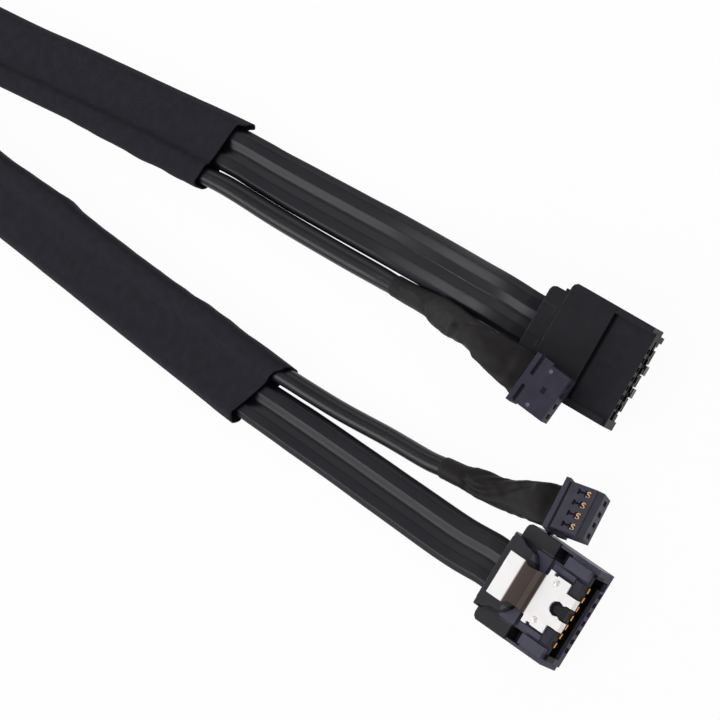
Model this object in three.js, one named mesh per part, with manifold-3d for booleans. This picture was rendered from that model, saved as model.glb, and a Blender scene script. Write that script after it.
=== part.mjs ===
import * as THREE from 'three';
import { mergeVertices } from 'three/addons/utils/BufferGeometryUtils.js';
import Module from 'manifold-3d';

// A sleeved drive cable: a twin-lobe data cable and a round power cable in one flat sleeve.
// Each end has a latching seven-contact plug and a small four-way connector.
// Millimetres, +Z up. The layout lies on the plane z = 0.

const wasm = await Module();
wasm.setup();

// Cables.
const DATA_WIDTH = 6.5;
const DATA_THICK = 1.8;
const DATA_VALLEY = 0.55;
const ROUND_RADIUS = 1.25;
const ROUND_SIDES = 8;
const WIRE_RADIUS = 0.35;
const WIRE_SIDES = 6;

// Sleeve: its wall, and the play around both cables inside it.
const SLEEVE_HALF = 5.1;
const SLEEVE_WALL = 0.25;
const SLEEVE_PLAY = 0.1;
const DATA_ACROSS = -1.05;
const ROUND_ACROSS = 3.5;

// Sleeve route on the table, from end A round the loop to end B (x, y).
const SLEEVE_ROUTE = [
  [-35, 13.6],
  [-47, 13.0],
  [-59, 12.15],
  [-78, 10.75],
  [-94, 10.3],
  [-108, 12.0],
  [-121, 16.2],
  [-134, 18.6],
  [-143.4, 15.5],
  [-149.2, 7.5],
  [-149.2, -2.3],
  [-143.4, -10.3],
  [-134, -13.4],
  [-121, -11.0],
  [-108, -6.8],
  [-94, -5.1],
  [-78, -5.5],
  [-65, -6.45],
  [-48, -7.75],
  [-31, -8.85],
  [-10, -10.2],
];
const FLAT_A = 47;
const FLAT_B = 73;
const TWIST_LENGTH = 46;
const STEP_FLAT = 7;
const STEP_TWIST = 2.4;
const STEP_LOOP = 3.7;
const CUT_LEAN_A = 0.17;
const CUT_LEAN_B = 0.37;
const CUT_REACH = 7;
const SLEEVE_DRAW = 0.35;
const DRAW_REACH = 32;

// Data plug (x = 0 at the mating face, -x to the cable, latch on +z, z = 0 underneath).
const PLUG_HALF = 6.75;
const PLUG_SOLE_STEP = 0.35;
const PLUG_BED = 3.5;
const PLUG_RAIL_TOP = 4.2;
const PLUG_SETBACK = 0.45;
const PLUG_FLOOR = 0.9;
const OVERMOLD_REAR = -12.45;
const OVERMOLD_FRONT = -6.8;
const OVERMOLD_RIDGE = -5.95;
const OVERMOLD_TOP = 3.6;
const COLLAR_TOP = 4.6;
const NECK_REAR = -15;
const NECK_HALF = 5;
const NECK_SHIFT = -0.2;
const MOULD_GAP = 0.05;
const MOULD_GROOVE = 0.4;
const CABLE_SEAT = 2;
const CABLE_FLOOR = 0.45;
const CONTACTS = 7;
const CONTACT_PITCH = 1.27;
const CONTACT_WIDTH = 0.7;
const CONTACT_THICK = 0.24;
const CONTACT_GAP = 0.06;
const SLOT_FLOOR = 1.3;
const SLOT_ROOF = 3;
const LATCH_SHEET = 0.25;
const LATCH_TOP = 4.5;
const LATCH_PAD_TOP = 6.42;

// Power connector (x = 0 at the mating face, terminals on +z).
const POWER_LENGTH = 5.5;
const POWER_HALF = 3.12;
const POWER_FLANGE_HALF = 3.45;
const POWER_HEIGHT = 2.5;
const POWER_WAYS = 4;
const POWER_PITCH = 1.48;
const WINDOW_FLOOR = 1.4;
const TERMINAL_GAP = 0.05;
const WIRE_LEVEL = 1.25;
const WIRE_FIT = 0.06;
const BOOT_WALL = 0.25;
const BOOT_GAP = 0.1;

// Places of the four connectors.
const TILT_A = 14;
const PLUG_A = [40.1, 15.45];
const PLUG_A_REST = 0.05;
const PLUG_B = [49.45, -12.95, 0];
const PLUG_B_YAW = -2;
const STACK_GAP = 0.06;
const POWER_A = [-5.95, -6.8];
const POWER_A_YAW = -6;
const POWER_B = [44.15, -1.65, 0.7];
const POWER_B_YAW = 10;
const POWER_B_PITCH = 8;
const POWER_B_ROLL = -12;

const rad = THREE.MathUtils.degToRad;
const smooth = (x) => THREE.MathUtils.smoothstep(x, 0, 1);

const COLOURS = {
  sleeve: [0x2b2b2d, 0.9, 0],
  cable: [0x333336, 0.6, 0],
  round: [0x17171a, 0.45, 0],
  overmold: [0x2b2b2f, 0.75, 0],
  housing: [0x4b4b57, 0.45, 0],
  latch: [0xe8e6e4, 0.25, 1],
  gold: [0xd9a441, 0.25, 1],
  boot: [0x2e2c2b, 0.65, 0],
  wire: [0x1c1c1e, 0.5, 0],
};

function material(key) {
  const [color, roughness, metalness] = COLOURS[key];
  return new THREE.MeshStandardMaterial({ color, roughness, metalness });
}

function piece(name, geometry, key) {
  const mesh = new THREE.Mesh(geometry, material(key));
  mesh.name = name;
  return mesh;
}

function solid(geometry) {
  const bare = geometry.clone();
  bare.deleteAttribute('normal');
  bare.deleteAttribute('uv');
  const merged = mergeVertices(bare, 1e-4);
  return new wasm.Manifold(
    new wasm.Mesh({
      numProp: 3,
      vertProperties: merged.attributes.position.array,
      triVerts: new Uint32Array(merged.index.array),
    }),
  );
}

function geometryOf(body) {
  const mesh = body.getMesh();
  const geometry = new THREE.BufferGeometry();
  const positions = new Float32Array(mesh.vertProperties);
  geometry.setAttribute('position', new THREE.BufferAttribute(positions, 3));
  geometry.setIndex(new THREE.BufferAttribute(new Uint32Array(mesh.triVerts), 1));
  const flat = geometry.toNonIndexed();
  flat.computeVertexNormals();
  return flat;
}

function box(x0, x1, y0, y1, z0, z1) {
  const geometry = new THREE.BoxGeometry(x1 - x0, y1 - y0, z1 - z0);
  return solid(geometry.translate((x0 + x1) / 2, (y0 + y1) / 2, (z0 + z1) / 2));
}

// Both a box and its mirror image across y = 0, joined to the body or cut from it.
function addPair(body, x0, x1, y0, y1, z0, z1) {
  return body.add(box(x0, x1, y0, y1, z0, z1)).add(box(x0, x1, -y1, -y0, z0, z1));
}

function cutPair(body, x0, x1, y0, y1, z0, z1) {
  return body.subtract(box(x0, x1, y0, y1, z0, z1)).subtract(box(x0, x1, -y1, -y0, z0, z1));
}

function shapeOf(points) {
  return new THREE.Shape(points.map(([x, y]) => new THREE.Vector2(x, y)));
}

// A plan outline (x, y) raised from z0 to z1.
function prism(points, z0, z1) {
  const geometry = new THREE.ExtrudeGeometry(shapeOf(points), {
    depth: z1 - z0,
    bevelEnabled: false,
  });
  return solid(geometry.translate(0, 0, z0));
}

// A side outline (x, z) drawn across from -half to half.
function sidePrism(points, half) {
  const geometry = new THREE.ExtrudeGeometry(shapeOf(points), {
    depth: 2 * half,
    bevelEnabled: false,
  });
  return solid(geometry.rotateX(Math.PI / 2).translate(0, half, 0));
}

// A half outline for y > 0, listed from rear to front, completed by its mirror image.
function mirrored(points) {
  const other = points.map(([x, y]) => [x, -y]).reverse();
  return [...other, ...points].reverse();
}

// Rings of matching points joined into one closed skin; inner rings make it hollow.
function loft(rings, outline, innerRings = [], innerOutline = []) {
  const positions = [];
  const index = [];
  const put = (set) => set.forEach((ring) => ring.forEach((p) => positions.push(p.x, p.y, p.z)));
  put(rings);
  put(innerRings);
  const skin = (start, count, turns, flip) => {
    for (let i = 0; i < turns - 1; i++) {
      for (let j = 0; j < count; j++) {
        const a = start + i * count + j;
        const b = start + i * count + ((j + 1) % count);
        const c = b + count;
        const d = a + count;
        index.push(...(flip ? [a, c, b, a, d, c] : [a, b, c, a, c, d]));
      }
    }
  };
  const n = outline.length;
  const m = innerOutline.length;
  const base = n * rings.length;
  skin(0, n, rings.length, false);
  skin(base, m, innerRings.length, true);
  const flat = (set) => set.map(([u, v]) => new THREE.Vector2(u, v));
  const faces = THREE.ShapeUtils.triangulateShape(flat(outline), m ? [flat(innerOutline)] : []);
  const last = rings.length - 1;
  const at = (k, turn) => (k < n ? turn * n + k : base + turn * m + (k - n));
  for (const [a, b, c] of faces) {
    index.push(at(c, 0), at(b, 0), at(a, 0));
    index.push(at(a, last), at(b, last), at(c, last));
  }
  const geometry = new THREE.BufferGeometry();
  geometry.setAttribute('position', new THREE.Float32BufferAttribute(positions, 3));
  geometry.setIndex(index);
  geometry.computeVertexNormals();
  return geometry;
}

// A cross-section frame: across points to the left of the heading, up away from the table.
function frame(point, heading, roll = 0) {
  const along = heading.clone().normalize();
  const left = new THREE.Vector3(-along.y, along.x, 0).normalize();
  const rise = new THREE.Vector3().crossVectors(along, left);
  const across = left.clone().multiplyScalar(Math.cos(roll));
  across.addScaledVector(rise, -Math.sin(roll));
  const up = left.clone().multiplyScalar(Math.sin(roll));
  up.addScaledVector(rise, Math.cos(roll));
  return { point: point.clone(), along, across, up };
}

function ringAt(place, outline, lean = 0) {
  return outline.map(([u, v]) =>
    place.point
      .clone()
      .addScaledVector(place.across, u)
      .addScaledVector(place.up, v)
      .addScaledVector(place.along, lean * u),
  );
}

function shifted(place, u, v) {
  const point = place.point.clone().addScaledVector(place.across, u).addScaledVector(place.up, v);
  return { ...place, point };
}

// Frames along a smooth curve through points, sampled between two of its knots.
function framesThrough(points, from, count, rolls = [0, 0]) {
  const curve = new THREE.CatmullRomCurve3(points, false, 'centripetal');
  const start = from / (points.length - 1);
  return Array.from({ length: count }, (_, i) => {
    const part = (i + 1) / count;
    const t = start + (1 - start) * part;
    const roll = THREE.MathUtils.lerp(rolls[0], rolls[1], part);
    return frame(curve.getPoint(t), curve.getTangent(t), roll);
  });
}

function backwards(frames) {
  return frames
    .map(({ point, along, across, up }) => ({
      point,
      along: along.clone().negate(),
      across: across.clone().negate(),
      up,
    }))
    .reverse();
}

// Outlines of the sections, as (across, up) pairs, counter-clockwise.
function dataOutline(grow = 0) {
  const half = DATA_WIDTH / 2 + grow;
  const top = DATA_THICK + grow;
  const side = [
    [half - 1.75, -grow],
    [half - 0.4, -grow],
    [half, 0.45],
    [half, DATA_THICK - 0.45],
    [half - 0.4, top],
    [half - 1.75, top],
  ];
  const mirror = side.map(([u, v]) => [-u, v]).reverse();
  return [[0, DATA_VALLEY - grow], ...side, [0, top - DATA_VALLEY], ...mirror];
}

function circleOutline(radius, sides) {
  return Array.from({ length: sides }, (_, i) => {
    const angle = (2 * Math.PI * i) / sides;
    return [radius * Math.cos(angle), radius * Math.sin(angle)];
  });
}

const DATA_LEVEL = SLEEVE_WALL + SLEEVE_PLAY;
const DATA_ROOF = DATA_LEVEL + DATA_THICK + SLEEVE_PLAY;
const ROUND_LEVEL = DATA_LEVEL + ROUND_RADIUS;
const ROUND_ROOF = ROUND_LEVEL + ROUND_RADIUS + SLEEVE_PLAY;

function sleeveOutline(inset, draw = 0) {
  const half = SLEEVE_HALF - inset;
  const near = draw - half;
  const low = inset;
  const top = DATA_ROOF + SLEEVE_WALL - inset;
  const high = ROUND_ROOF + SLEEVE_WALL - inset;
  const soft = inset * 0.45;
  return [
    [near + 0.45, low],
    [-1.6, low],
    [1.5, low],
    [half - 0.55, low],
    [half, 0.8 + soft],
    [half, high - 1 + soft],
    [half - 0.6, high - 0.1],
    [ROUND_ACROSS, high],
    [ROUND_ACROSS - 1.05 + soft, high - 0.1],
    [1.6 + soft, top],
    [-1.3, top],
    [near + 0.65, top],
    [near, top - 0.65],
    [near, 0.6 + soft],
  ];
}

// How far the section's lowest corner hangs below its own origin at a roll.
function hang(roll) {
  const drops = sleeveOutline(0).map(([u, v]) => u * Math.sin(roll) - v * Math.cos(roll));
  return Math.max(...drops);
}

function sleeveStations() {
  const points = SLEEVE_ROUTE.map(([x, y]) => new THREE.Vector3(x, y, 0));
  const curve = new THREE.CatmullRomCurve3(points, false, 'centripetal');
  curve.arcLengthDivisions = 2000;
  const length = curve.getLength();
  const spans = [
    [0, CUT_REACH, STEP_FLAT / 2],
    [CUT_REACH, FLAT_A, STEP_FLAT],
    [FLAT_A, FLAT_A + TWIST_LENGTH, STEP_TWIST],
    [FLAT_A + TWIST_LENGTH, length - FLAT_B - TWIST_LENGTH, STEP_LOOP],
    [length - FLAT_B - TWIST_LENGTH, length - FLAT_B, STEP_TWIST],
    [length - FLAT_B, length - CUT_REACH, STEP_FLAT],
    [length - CUT_REACH, length, STEP_FLAT / 2],
  ];
  const stops = [0];
  for (const [from, to, step] of spans) {
    const count = Math.max(1, Math.round((to - from) / step));
    for (let i = 1; i <= count; i++) stops.push(from + ((to - from) * i) / count);
  }
  return stops.map((s) => {
    const u = Math.min(1, s / length);
    const turnIn = smooth((s - FLAT_A) / TWIST_LENGTH);
    const turnOut = smooth((length - FLAT_B - s) / TWIST_LENGTH);
    const roll = (Math.PI / 2) * turnIn * turnOut;
    const point = curve.getPointAt(u);
    point.z = hang(roll);
    const place = frame(point, curve.getTangentAt(u).setZ(0), roll);
    const nearA = 1 - smooth(s / CUT_REACH);
    const nearB = 1 - smooth((length - s) / CUT_REACH);
    const draw = SLEEVE_DRAW * smooth(s / DRAW_REACH) * smooth((length - s) / DRAW_REACH);
    return { ...place, draw, lean: CUT_LEAN_A * nearA + CUT_LEAN_B * nearB };
  });
}

function sleeve(stations) {
  const outer = sleeveOutline(0);
  const inner = sleeveOutline(SLEEVE_WALL);
  const rings = (inset) => (place) => ringAt(place, sleeveOutline(inset, place.draw), place.lean);
  return loft(stations.map(rings(0)), outer, stations.map(rings(SLEEVE_WALL)), inner);
}

// Data plug.
function contactY(i) {
  return (i - (CONTACTS - 1) / 2) * CONTACT_PITCH;
}

const TAB = [
  [-9.2, 4.65],
  [-9.05, 4.25],
  [-8.5, 3.95],
  [-7.85, 3.25],
  [-7.45, 2.5],
  [-6.5, 2.5],
  [-6.5, 4.65],
];

function plugTab(grow) {
  const outline = TAB.map(([x, y]) => [x + (x < -7 ? -grow : grow), y + (y < 4 ? -grow : grow)]);
  const other = outline.map(([x, y]) => [x, -y]).reverse();
  return prism(outline, 3 - grow, 3.85 + grow).add(prism(other, 3 - grow, 3.85 + grow));
}

function plugHousing() {
  const rear = OVERMOLD_FRONT + MOULD_GAP;
  const sole = OVERMOLD_RIDGE + MOULD_GAP;
  const floor = PLUG_FLOOR + MOULD_GAP;
  const front = -PLUG_SETBACK;
  const rim = PLUG_HALF - 0.85;
  let body = box(rear, 0, -PLUG_HALF, PLUG_HALF, floor, PLUG_BED);
  body = body.add(box(sole, 0, -PLUG_HALF, PLUG_HALF, PLUG_SOLE_STEP, PLUG_BED));
  body = addPair(body, sole, -0.35, rim, PLUG_HALF, 0, floor);
  body = addPair(body, -4.5, front - 0.1, 4.7, 6.1, PLUG_BED - 0.2, PLUG_RAIL_TOP);
  body = addPair(body, -5.8, -2.1, 3.7, 4.4, PLUG_BED - 0.2, 4);
  body = addPair(body, -1.8, front, 2.35, 4.25, PLUG_BED - 0.2, 4.3);
  const post = [
    [-2.4, 0.25],
    [-2.1, 0.5],
    [-1.35, 0.55],
    [-0.9, 0.8],
    [front, 0.8],
  ];
  body = body.add(prism(mirrored(post), PLUG_BED - 0.2, 4.35));
  body = body.add(plugTab(0));
  body = cutPair(body, -7, -4.5, 4.7, 6.35, 1.5, 5);
  body = body.subtract(box(-5, 0.2, -5.3, 5.6, SLOT_FLOOR, SLOT_ROOF));
  body = body.subtract(box(-5, 0.2, 4.45, 5.6, 0.7, SLOT_ROOF));
  body = body.subtract(box(front, 0.2, -5.3, 5.6, SLOT_ROOF - 0.1, 5));
  body = body.subtract(box(sole - 0.1, sole + MOULD_GROOVE, -rim, rim, 0, PLUG_SOLE_STEP + 0.4));
  body = body.subtract(box(-0.5, 0.2, -7, -6.1, -0.1, 5));
  for (let i = 0; i < CONTACTS; i++) {
    const y = contactY(i);
    const half = CONTACT_WIDTH / 2 + CONTACT_GAP;
    const roof = SLOT_ROOF + CONTACT_THICK + CONTACT_GAP;
    body = body.subtract(box(-4.8, 0.2, y - half, y + half, SLOT_ROOF - 0.1, roof));
    body = body.subtract(box(-0.7, 0.2, y - 0.32, y + 0.32, 0.45, SLOT_FLOOR - 0.14));
  }
  return geometryOf(body);
}

function contact() {
  const half = CONTACT_WIDTH / 2;
  const roof = SLOT_ROOF + CONTACT_THICK;
  return geometryOf(box(-4.7, -0.25, -half, half, SLOT_ROOF, roof));
}

function overmold() {
  const plan = [
    [OVERMOLD_REAR, PLUG_HALF - 0.75],
    [OVERMOLD_REAR + 0.15, PLUG_HALF - 0.3],
    [OVERMOLD_REAR + 0.6, PLUG_HALF],
    [OVERMOLD_FRONT, PLUG_HALF],
  ];
  let body = prism(mirrored(plan), 0, OVERMOLD_TOP);
  body = body.add(box(-8, OVERMOLD_RIDGE, -PLUG_HALF, PLUG_HALF, 0, PLUG_FLOOR));
  const collar = [
    [-12.8, 4.2],
    [-12.4, 4.75],
    [-11.7, 4.9],
    [-11.0, 4.6],
    [-10.2, 4.25],
    [-9.3, 4.15],
    [-8.6, 3.85],
    [-8.0, 3.2],
    [-7.6, 2.6],
  ];
  body = body.add(prism(mirrored(collar), 2, COLLAR_TOP));
  const neck = [
    [-12.2, PLUG_SOLE_STEP],
    [-12.2, 4.2],
    [-12.9, 4.2],
    [-13.9, 2.9],
    [-14.6, 1.4],
    [NECK_REAR, PLUG_SOLE_STEP],
  ];
  const throat = [
    [NECK_REAR, NECK_HALF - 0.75],
    [NECK_REAR + 0.2, NECK_HALF - 0.25],
    [NECK_REAR + 0.7, NECK_HALF],
    [-12, NECK_HALF],
  ];
  const round = sidePrism(neck.reverse(), NECK_HALF).intersect(prism(mirrored(throat), 0, 5));
  body = body.add(round.translate([0, NECK_SHIFT, 0]));
  const tab = NECK_SHIFT - NECK_HALF;
  body = body.add(box(-13.05, -12.3, tab - 0.4, tab + 1, PLUG_SOLE_STEP, 1.2));
  const seat = dataOutline(MOULD_GAP).map(([u, v]) => [u, v + CABLE_FLOOR]);
  const bore = new THREE.ExtrudeGeometry(shapeOf(seat), {
    depth: CABLE_SEAT + 0.5,
    bevelEnabled: false,
  });
  bore.rotateX(Math.PI / 2).rotateZ(Math.PI / 2).translate(NECK_REAR - 0.5, 0, 0);
  body = body.subtract(solid(bore)).subtract(plugTab(MOULD_GAP));
  return geometryOf(body);
}

function latch() {
  const plate = [
    [-6, 2.75],
    [-5.55, 2.75],
    [-5.55, 3.6],
    [-4.8, 3.6],
    [-4.8, 3.2],
    [-4.2, 3.2],
    [-4.2, 3.4],
    [-1.95, 3.4],
    [-1.95, 2.2],
    [-0.2, 2.2],
    [-0.2, 0.95],
    [-0.9, 0.95],
    [-1.35, 0.72],
    [-1.65, 0.85],
    [-2.1, 0.95],
    [-2.77, 0.67],
    [-3.05, 0.25],
  ];
  const low = LATCH_TOP - LATCH_SHEET;
  let body = prism(mirrored(plate), low, LATCH_TOP);
  body = addPair(body, -0.2 - LATCH_SHEET, -0.2, 0.95, 2.2, 3.55, low + 0.05);
  const bend = [
    [-5.7, LATCH_TOP],
    [-6.3, LATCH_TOP + 0.12],
    [-6.9, 5.05],
    [-7.35, 5.7],
    [-7.7, 6.28],
    [-8, LATCH_PAD_TOP],
    [-10.7, LATCH_PAD_TOP],
    [-10.7, LATCH_PAD_TOP - LATCH_SHEET],
    [-8.1, LATCH_PAD_TOP - LATCH_SHEET],
    [-7.88, 6.08],
    [-7.58, 5.6],
    [-7.1, 4.9],
    [-6.4, LATCH_TOP - 0.12],
    [-5.7, low],
  ];
  const reach = [
    [-10.7, 2.9],
    [-8.1, 2.9],
    [-7.6, 2.45],
    [-5.7, 2.75],
  ];
  const spring = sidePrism(bend.reverse(), 3.5).intersect(prism(mirrored(reach), 4, 7));
  body = body.add(spring);
  for (const side of [-1, 1]) {
    const dome = new THREE.SphereGeometry(0.62, 10, 8).translate(-3.9, 2.6 * side, LATCH_TOP - 0.46);
    body = body.add(solid(dome).intersect(box(-5, -3, -4, 4, LATCH_TOP - 0.1, 5)));
  }
  return geometryOf(body);
}

function dataPlug(end) {
  const group = new THREE.Group();
  group.add(piece(`plug_housing_${end}`, plugHousing(), 'housing'));
  group.add(piece(`plug_overmold_${end}`, overmold(), 'overmold'));
  group.add(piece(`plug_latch_${end}`, latch(), 'latch'));
  for (let i = 0; i < CONTACTS; i++) {
    const strip = piece(`plug_contact_${end}_${i + 1}`, contact(), 'gold');
    strip.position.y = contactY(i);
    group.add(strip);
  }
  return group;
}

// Power connector.
function wayY(i) {
  return (i - (POWER_WAYS - 1) / 2) * POWER_PITCH;
}

function powerHousing() {
  const rear = -POWER_LENGTH;
  const side = [
    [rear, 0],
    [0, 0],
    [0, POWER_HEIGHT - 0.45],
    [-0.72, POWER_HEIGHT - 0.1],
    [-0.8, POWER_HEIGHT - 0.2],
    [-0.88, POWER_HEIGHT],
    [rear + 1.05, POWER_HEIGHT],
    [rear + 1.05, POWER_HEIGHT - 0.35],
    [rear + 0.7, POWER_HEIGHT - 0.35],
    [rear + 0.7, POWER_HEIGHT],
    [rear, POWER_HEIGHT],
  ];
  let body = sidePrism(side, POWER_HALF);
  body = addPair(body, rear, rear + 0.7, 2, POWER_FLANGE_HALF, 0, POWER_HEIGHT);
  body = body.add(box(rear + 0.5, -2.9, -POWER_FLANGE_HALF, -2, 0, 0.75));
  body = body.subtract(box(-4.3, -2.9, -4, 0.2 - POWER_HALF, 0.75, 2));
  body = cutPair(body, rear + 0.7, rear + 1.2, 0.75, 4, -0.2, 0.55);
  for (let i = 0; i < POWER_WAYS; i++) {
    const y = wayY(i);
    const hole = WIRE_RADIUS + WIRE_FIT;
    body = body.subtract(box(-2.3, -1.35, y - 0.4, y + 0.4, WINDOW_FLOOR, 3));
    body = body.subtract(box(-3.1, -2.2, y - 0.15, y + 0.15, 1.9, 3));
    body = body.subtract(box(-3.3, -2.95, y - 0.35, y + 0.35, 1.9, 3));
    body = body.subtract(box(-1, 0.2, y - 0.32, y + 0.32, 0.55, 1.4));
    const low = WIRE_LEVEL - hole;
    const high = WIRE_LEVEL + hole;
    body = body.subtract(box(rear - 0.1, rear + 0.5, y - hole, y + hole, low, high));
  }
  return geometryOf(body);
}

function terminal() {
  const outline = [
    [-0.4, -0.28],
    [-0.05, -0.28],
    [0.4, 0.02],
    [0.4, 0.28],
    [0.05, 0.28],
    [-0.4, -0.02],
  ];
  return geometryOf(prism(outline, WINDOW_FLOOR + TERMINAL_GAP, 2.25));
}

function powerConnector(end) {
  const group = new THREE.Group();
  group.add(piece(`power_housing_${end}`, powerHousing(), 'housing'));
  for (let i = 0; i < POWER_WAYS; i++) {
    const pin = piece(`power_terminal_${end}_${i + 1}`, terminal(), 'gold');
    pin.position.set(-1.825, wayY(i), 0);
    group.add(pin);
  }
  return group;
}

// A boot over the last stretch of a round cable: its half widths and half heights along it.
const BOOT_HALVES = {
  a: [[1.55, 1.55], [1.55, 1.55], [1.6, 1.5], [1.75, 1.45], [2.15, 1.4], [2.65, 1.25], [2.95, 1.15]],
  b: [[1.55, 1.55], [1.55, 1.55], [1.65, 1.5], [1.95, 1.4], [2.3, 1.35], [2.55, 1.25], [2.7, 1.15]],
};
const BOOT_GRIP = 3.2;
const BOOT_STEPS = 10;

function bootSection(end, part, inset) {
  const table = BOOT_HALVES[end];
  const spot = part * (table.length - 1);
  const k = Math.min(table.length - 2, Math.floor(spot));
  const [w0, h0] = table[k];
  const [w1, h1] = table[k + 1];
  const width = THREE.MathUtils.lerp(w0, w1, spot - k) - inset;
  const height = THREE.MathUtils.lerp(h0, h1, spot - k) - inset;
  return Array.from({ length: 12 }, (_, i) => {
    const angle = (2 * Math.PI * (i + 0.5)) / 12;
    const power = THREE.MathUtils.lerp(1, 0.7, smooth(part * 1.4));
    const c = Math.cos(angle);
    const s = Math.sin(angle);
    const scale = 1 / Math.cos(Math.PI / 12);
    const u = Math.sign(c) * Math.abs(c) ** power * width * scale;
    const v = Math.sign(s) * Math.abs(s) ** power * height * scale;
    return [u, v];
  });
}

function boot(end, frames) {
  const last = frames.length - 1;
  const ring = (inset) => (place, i) => ringAt(place, bootSection(end, i / last, inset));
  return loft(
    frames.map(ring(0)),
    bootSection(end, 0, 0),
    frames.map(ring(BOOT_WALL)),
    bootSection(end, 0, BOOT_WALL),
  );
}

// Four wires fan out from a square bundle at the cable to a row at the connector.
function wire(i, frames, tail) {
  const start = [[-0.45, -0.45], [-0.45, 0.45], [0.45, -0.45], [0.45, 0.45]][i];
  const row = wayY(i);
  const outline = circleOutline(WIRE_RADIUS, WIRE_SIDES);
  const last = frames.length - 1;
  const rings = frames.map((place, k) => {
    const part = k / last;
    const u = THREE.MathUtils.lerp(start[0], row, part);
    const v = THREE.MathUtils.lerp(start[1], 0, part);
    return ringAt(shifted(place, u, v), outline);
  });
  rings.push(ringAt(shifted(tail, row, 0), outline));
  return loft(rings, outline);
}

// Everything is laid out in the table's own frame and moved to its own centre at the end.
const layout = new THREE.Group();
const tiltRadians = rad(TILT_A);
const restA = LATCH_TOP * Math.cos(tiltRadians) + PLUG_A_REST;

const sideA = new THREE.Group();
sideA.position.set(PLUG_A[0], PLUG_A[1], restA);
sideA.rotation.y = tiltRadians;
const plugA = dataPlug('a');
plugA.rotation.x = Math.PI;
const powerA = powerConnector('a');
powerA.rotation.set(Math.PI, 0, rad(POWER_A_YAW), 'ZYX');
powerA.position.set(POWER_A[0], POWER_A[1], POWER_HEIGHT + STACK_GAP);
sideA.add(plugA, powerA);

const plugB = dataPlug('b');
plugB.position.set(...PLUG_B);
plugB.rotation.z = rad(PLUG_B_YAW);
const powerB = powerConnector('b');
powerB.position.set(...POWER_B);
powerB.rotation.set(rad(POWER_B_ROLL), rad(POWER_B_PITCH), rad(POWER_B_YAW), 'ZYX');
layout.add(sideA, plugB, powerB);
layout.updateMatrixWorld(true);

const spot = (group, x, y, z) => group.localToWorld(new THREE.Vector3(x, y, z));
const point = (x, y, z) => new THREE.Vector3(x, y, z);

// The cables leave the sleeve at both ends along the stations' own headings.
const stations = sleeveStations();
const firstStation = stations[0];
const lastStation = stations[stations.length - 1];
layout.add(piece('sleeve', sleeve(stations), 'sleeve'));

// The data cable's last straight stretch, through the neck's mouth to the end of its seat.
function seated(plug, floor) {
  const mouth = spot(plug, NECK_REAR - 0.2, 0, floor);
  const end = spot(plug, NECK_REAR + CABLE_SEAT - 0.1, 0, floor);
  const heading = end.clone().sub(mouth);
  return [frame(mouth, heading), frame(end, heading)];
}

function dataCable() {
  const inside = stations.map((place) => shifted(place, DATA_ACROSS, DATA_LEVEL));
  const startA = inside[0].point;
  const startB = inside[inside.length - 1].point;
  const floorA = CABLE_FLOOR + DATA_THICK;
  const runA = [
    startA.clone().addScaledVector(firstStation.along, 4),
    startA,
    startA.clone().addScaledVector(firstStation.along, -3),
    point(-25, 14.85, 0.08),
    point(-12, 15.2, 0),
    point(-3, 15.5, 0.35),
    point(6, 15.8, 2),
    point(13.5, 15.85, 4.3),
    point(19.5, 15.65, 6.05),
    spot(plugA, NECK_REAR - 1.2, 0, floorA),
  ];
  const runB = [
    startB.clone().addScaledVector(lastStation.along, -4),
    startB,
    startB.clone().addScaledVector(lastStation.along, 3),
    point(3, -11.55, 0.02),
    point(18, -12.2, 0),
    point(28, -12.45, 0.12),
    spot(plugB, NECK_REAR - 1.2, 0, CABLE_FLOOR),
  ];
  const places = [
    ...backwards([...framesThrough(runA, 1, 20), ...seated(plugA, floorA)]),
    ...inside,
    ...framesThrough(runB, 1, 12),
    ...seated(plugB, CABLE_FLOOR),
  ];
  const outline = dataOutline();
  return loft(places.map((place) => ringAt(place, outline)), outline);
}
layout.add(piece('data_cable', dataCable(), 'cable'));

// Boot centre lines, from the round cable to the power connectors.
function bootPlaces(group, knots, rollEnd) {
  const start = knots[0];
  const heading = knots[1].clone().sub(start).normalize();
  const grip = start.clone().addScaledVector(heading, BOOT_GRIP);
  const rear = spot(group, -POWER_LENGTH - BOOT_GAP, 0, WIRE_LEVEL);
  const before = spot(group, -POWER_LENGTH - BOOT_GAP - 2, 0, WIRE_LEVEL);
  const straight = [0, 0.5, 1].map((part) => frame(start.clone().lerp(grip, part), heading));
  const bends = [start, grip, ...knots.slice(2), before, rear];
  return [...straight, ...framesThrough(bends, 1, BOOT_STEPS, [0, rollEnd])];
}

const KNOTS_A = [
  point(-0.7, 10.4, 1.59),
  point(3, 10.45, 1.95),
  point(9, 10.65, 4.15),
  point(15, 10.5, 6.9),
  point(21, 10.15, 8.85),
];
const KNOTS_B = [point(20.3, -5.85, 1.58), point(24, -5.45, 1.6), point(31, -4.4, 1.65)];
const bootA = bootPlaces(powerA, KNOTS_A, 0);
const bootB = bootPlaces(powerB, KNOTS_B, rad(-POWER_B_ROLL));
layout.add(piece('power_boot_a', boot('a', bootA), 'boot'));
layout.add(piece('power_boot_b', boot('b', bootB), 'boot'));

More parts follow.
